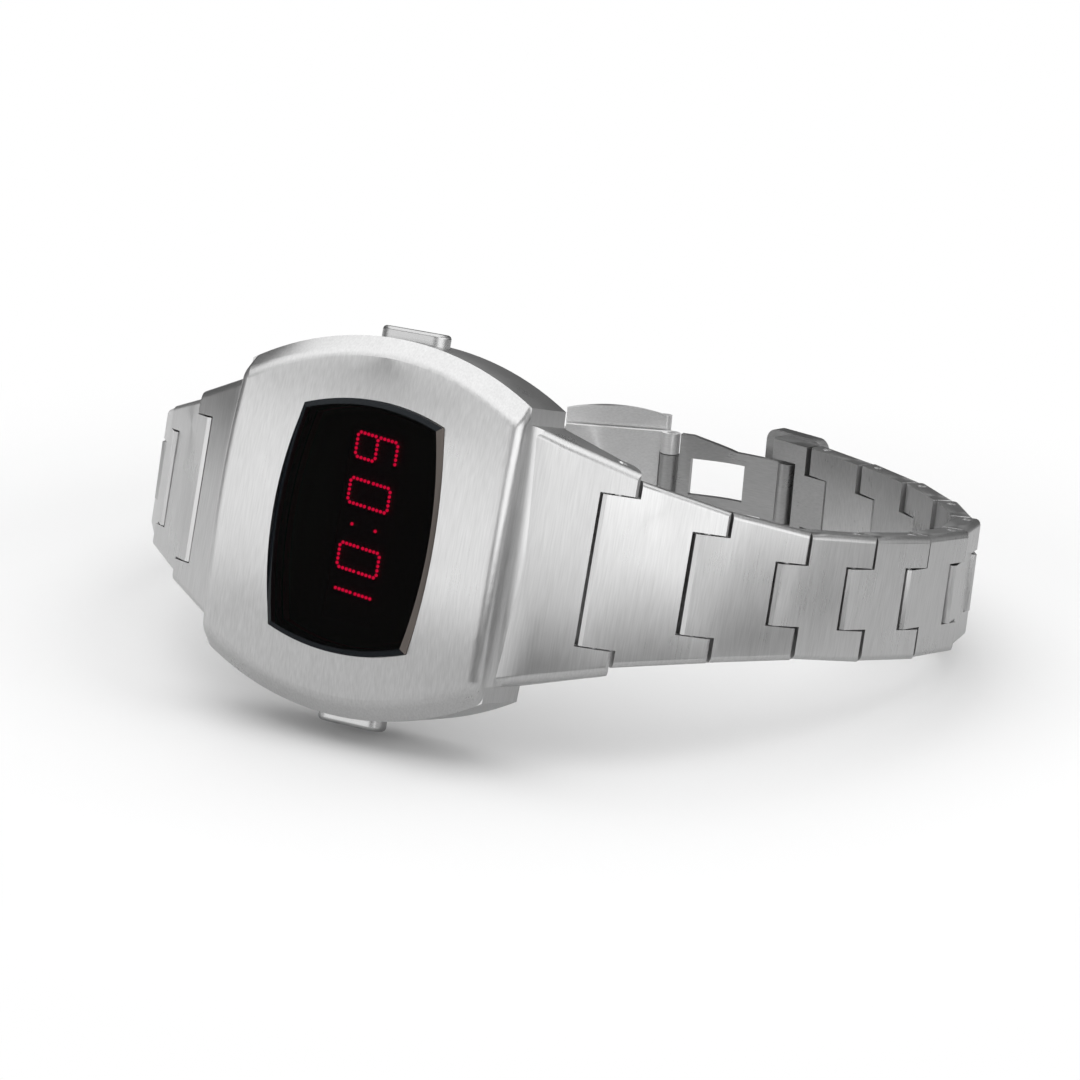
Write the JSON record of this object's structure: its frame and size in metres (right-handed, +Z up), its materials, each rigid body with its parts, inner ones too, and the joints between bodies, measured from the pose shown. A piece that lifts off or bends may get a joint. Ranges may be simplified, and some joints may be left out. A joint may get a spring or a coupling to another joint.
{
  "type": "led wristwatch",
  "caption": "Brushed steel cushion-cased LED wristwatch with a dark window, two side pushers and a tapered interlocking-link bracelet on a fold-over clasp.",
  "frame": {"origin": "bottom centre of the bounding box, on the surface the watch lies on", "axes": "+Z up towards the three o'clock side, the face looks along -Y, +X towards six o'clock, the bracelet loops back along +Y; the watch leans back 15.6 degrees"},
  "size_m": [0.0956, 0.0984, 0.0434],
  "materials": {
    "steel": "fine brushed",
    "pin_steel": "ground",
    "crystal": "polished dark red-black",
    "rubber": "matt",
    "display": "matt black with red dot digits",
    "board": "solder resist",
    "cell": "plated",
    "contact": "plated spring leaf"
  },
  "bodies": {
    "watch_head": {"case_body": "steel", "crystal": "crystal", "crystal_gasket": "rubber", "led_display_module": "display", "circuit_board": "board", "battery": "cell", "case_back": "steel", "case_back_gasket": "rubber", "case_back_screws": "pin_steel", "pusher_seals": "rubber", "pusher_contacts": "contact", "six_oclock_pin_01": "pin_steel", "twelve_oclock_pin_01": "pin_steel"},
    "six_link_01": {"six_oclock_link_01": "steel", "six_oclock_pin_02": "pin_steel"},
    "six_link_02": {"six_oclock_link_02": "steel", "six_oclock_pin_03": "pin_steel"},
    "six_link_03": {"six_oclock_link_03": "steel", "six_oclock_pin_04": "pin_steel"},
    "six_link_04": {"six_oclock_link_04": "steel", "six_oclock_pin_05": "pin_steel"},
    "six_link_05": {"six_oclock_link_05": "steel", "six_oclock_pin_06": "pin_steel"},
    "six_link_06": {"six_oclock_link_06": "steel", "six_oclock_pin_07": "pin_steel"},
    "six_link_07": {"six_oclock_link_07": "steel", "six_oclock_pin_08": "pin_steel"},
    "six_link_08": {"six_oclock_link_08": "steel", "six_oclock_pin_09": "pin_steel"},
    "six_link_09": {"six_oclock_link_09": "steel", "six_oclock_pin_10": "pin_steel"},
    "six_link_10": {"six_oclock_link_10": "steel", "six_oclock_pin_11": "pin_steel"},
    "clasp_end": {"clasp_end_piece": "steel"},
    "twelve_link_01": {"twelve_oclock_link_01": "steel", "twelve_oclock_pin_02": "pin_steel"},
    "twelve_link_02": {"twelve_oclock_link_02": "steel", "twelve_oclock_pin_03": "pin_steel"},
    "twelve_link_03": {"twelve_oclock_link_03": "steel", "twelve_oclock_pin_04": "pin_steel"},
    "twelve_link_04": {"twelve_oclock_link_04": "steel", "twelve_oclock_pin_05": "pin_steel"},
    "twelve_link_05": {"twelve_oclock_link_05": "steel", "twelve_oclock_pin_06": "pin_steel"},
    "twelve_link_06": {"twelve_oclock_link_06": "steel", "twelve_oclock_pin_07": "pin_steel"},
    "twelve_link_07": {"twelve_oclock_link_07": "steel", "twelve_oclock_pin_08": "pin_steel"},
    "twelve_link_08": {"twelve_oclock_link_08": "steel", "twelve_oclock_pin_09": "pin_steel"},
    "twelve_link_09": {"twelve_oclock_link_09": "steel", "twelve_oclock_pin_10": "pin_steel"},
    "clasp_base": {"clasp_base_plate": "steel", "clasp_stud": "pin_steel", "clasp_blade_pin": "pin_steel"},
    "clasp_blade": {"clasp_blade": "steel", "clasp_spring_bar": "pin_steel"},
    "clasp_cover": {"clasp_cover": "steel"},
    "pusher_three": {"pusher_three_oclock": "steel"},
    "pusher_nine": {"pusher_nine_oclock": "steel"}
  },
  "joints": [
    {"name": "six_oclock_hinge_01", "type": "hinge", "parent": "watch_head", "child": "six_link_01", "pos_m": [0.02327, -0.03548, 0.02136], "axis": [0, 0.2684, 0.9633], "range_deg": [-5.8, 5.8]},
    {"name": "six_oclock_hinge_02", "type": "hinge", "parent": "six_link_01", "child": "six_link_02", "pos_m": [0.03109, -0.02857, 0.0195], "axis": [0, 0.26, 0.9656], "range_deg": [-12.3, 12.3]},
    {"name": "six_oclock_hinge_03", "type": "hinge", "parent": "six_link_02", "child": "six_link_03", "pos_m": [0.0372, -0.02041, 0.01743], "axis": [0, 0.2465, 0.9691], "range_deg": [-6.7, 6.7]},
    {"name": "six_oclock_hinge_04", "type": "hinge", "parent": "six_link_03", "child": "six_link_04", "pos_m": [0.04173, -0.01194, 0.01549], "axis": [0, -0.2227, -0.9749], "range_deg": [-5.6, 5.6]},
    {"name": "six_oclock_hinge_05", "type": "hinge", "parent": "six_link_04", "child": "six_link_05", "pos_m": [0.04484, -0.00283, 0.01364], "axis": [0, 0.1989, 0.98], "range_deg": [-11.95, 11.95]},
    {"name": "six_oclock_hinge_06", "type": "hinge", "parent": "six_link_05", "child": "six_link_06", "pos_m": [0.04612, 0.00674, 0.01194], "axis": [0, 0.1749, 0.9846], "range_deg": [-6.61, 6.61]},
    {"name": "six_oclock_hinge_07", "type": "hinge", "parent": "six_link_06", "child": "six_link_07", "pos_m": [0.04458, 0.0163, 0.01048], "axis": [0, 0.1508, 0.9886], "range_deg": [-2.1, 2.1]},
    {"name": "six_oclock_hinge_08", "type": "hinge", "parent": "six_link_07", "child": "six_link_08", "pos_m": [0.03968, 0.02472, 0.00941], "axis": [0, 0.1266, 0.992], "range_deg": [-3.6, 3.6]},
    {"name": "six_oclock_hinge_09", "type": "hinge", "parent": "six_link_08", "child": "six_link_09", "pos_m": [0.03325, 0.03208, 0.00865], "axis": [0, 0.1023, 0.9948], "range_deg": [-10.95, 10.95]},
    {"name": "six_oclock_hinge_10", "type": "hinge", "parent": "six_link_09", "child": "six_link_10", "pos_m": [0.02533, 0.03782, 0.0082], "axis": [0, 0.0779, 0.997], "range_deg": [-9.75, 9.75]},
    {"name": "six_oclock_hinge_11", "type": "hinge", "parent": "six_link_10", "child": "clasp_end", "pos_m": [0.01667, 0.04242, 0.00796], "axis": [0, -0.0536, -0.9986], "range_deg": [-11.9, 11.9]},
    {"name": "twelve_oclock_hinge_01", "type": "hinge", "parent": "watch_head", "child": "twelve_link_01", "pos_m": [-0.02653, -0.03548, 0.02136], "axis": [0, 0.2684, 0.9633], "range_deg": [-8.88, 8.88]},
    {"name": "twelve_oclock_hinge_02", "type": "hinge", "parent": "twelve_link_01", "child": "twelve_link_02", "pos_m": [-0.03434, -0.02857, 0.0195], "axis": [0, 0.26, 0.9656], "range_deg": [-8.93, 8.93]},
    {"name": "twelve_oclock_hinge_03", "type": "hinge", "parent": "twelve_link_02", "child": "twelve_link_03", "pos_m": [-0.04045, -0.02041, 0.01743], "axis": [0, 0.2465, 0.9691], "range_deg": [-7.4, 7.4]},
    {"name": "twelve_oclock_hinge_04", "type": "hinge", "parent": "twelve_link_03", "child": "twelve_link_04", "pos_m": [-0.04445, -0.01169, 0.01544], "axis": [0, 0.2223, 0.975], "range_deg": [-8.14, 8.14]},
    {"name": "twelve_oclock_hinge_05", "type": "hinge", "parent": "twelve_link_04", "child": "twelve_link_05", "pos_m": [-0.0461, -0.00222, 0.01352], "axis": [0, -0.1979, -0.9802], "range_deg": [-5.5, 5.5]},
    {"name": "twelve_oclock_hinge_06", "type": "hinge", "parent": "twelve_link_05", "child": "twelve_link_06", "pos_m": [-0.04496, 0.00737, 0.01184], "axis": [0, 0.1735, 0.9848], "range_deg": [-7.93, 7.93]},
    {"name": "twelve_oclock_hinge_07", "type": "hinge", "parent": "twelve_link_06", "child": "twelve_link_07", "pos_m": [-0.04109, 0.01627, 0.01049], "axis": [0, 0.1489, 0.9889], "range_deg": [-4.8, 4.8]},
    {"name": "twelve_oclock_hinge_08", "type": "hinge", "parent": "twelve_link_07", "child": "twelve_link_08", "pos_m": [-0.0351, 0.02397, 0.00953], "axis": [0, 0.1242, 0.9923], "range_deg": [-11.89, 11.89]},
    {"name": "twelve_oclock_hinge_09", "type": "hinge", "parent": "twelve_link_08", "child": "twelve_link_09", "pos_m": [-0.02772, 0.03039, 0.00889], "axis": [0, 0.0995, 0.995], "range_deg": [-7.7, 7.7]},
    {"name": "twelve_oclock_hinge_10", "type": "hinge", "parent": "twelve_link_09", "child": "clasp_base", "pos_m": [-0.01951, 0.03573, 0.00849], "axis": [0, 0.0747, 0.9972], "range_deg": [-4.27, 4.27]},
    {"name": "clasp_blade_fold", "type": "hinge", "parent": "clasp_base", "child": "clasp_blade", "pos_m": [-0.00526, 0.04297, 0.00795], "axis": [0, -0.0747, -0.9972], "range_deg": [0, 140]},
    {"name": "clasp_cover_lift", "type": "hinge", "parent": "clasp_base", "child": "clasp_cover", "pos_m": [-0.01951, 0.03573, 0.00849], "axis": [0, 0.0747, 0.9972], "range_deg": [0, 80]},
    {"name": "pusher_three_press", "type": "slide", "parent": "watch_head", "child": "pusher_three", "axis": [0, -0.2684, -0.9633], "range_m": [0, 0.0007], "stiffness_N_per_m": 1500, "springref_m": -0.0006},
    {"name": "pusher_nine_press", "type": "slide", "parent": "watch_head", "child": "pusher_nine", "axis": [0, 0.2684, 0.9633], "range_m": [0, 0.0007], "stiffness_N_per_m": 1500, "springref_m": -0.0006}
  ],
  "couplings": [
    {"joint": "six_oclock_hinge_02", "follows": "six_oclock_hinge_01", "ratio": -2.1203},
    {"joint": "six_oclock_hinge_03", "follows": "six_oclock_hinge_01", "ratio": 1.1544},
    {"joint": "twelve_oclock_hinge_06", "follows": "twelve_oclock_hinge_05", "ratio": 1.441},
    {"joint": "twelve_oclock_hinge_10", "follows": "twelve_oclock_hinge_05", "ratio": -0.77574},
    {"joint": "six_oclock_hinge_09", "follows": "six_oclock_hinge_08", "ratio": -3.0415},
    {"joint": "six_oclock_hinge_10", "follows": "six_oclock_hinge_08", "ratio": 2.7083},
    {"joint": "twelve_oclock_hinge_08", "follows": "twelve_oclock_hinge_07", "ratio": -2.4765},
    {"joint": "twelve_oclock_hinge_09", "follows": "twelve_oclock_hinge_07", "ratio": 1.6044},
    {"joint": "twelve_oclock_hinge_03", "follows": "six_oclock_hinge_11", "ratio": -0.62155},
    {"joint": "twelve_oclock_hinge_04", "follows": "six_oclock_hinge_11", "ratio": 0.68411},
    {"joint": "twelve_oclock_hinge_01", "follows": "six_oclock_hinge_07", "ratio": 4.2284},
    {"joint": "twelve_oclock_hinge_02", "follows": "six_oclock_hinge_07", "ratio": -4.2535},
    {"joint": "six_oclock_hinge_05", "follows": "six_oclock_hinge_04", "ratio": 2.1346},
    {"joint": "six_oclock_hinge_06", "follows": "six_oclock_hinge_04", "ratio": -1.1809}
  ]
}
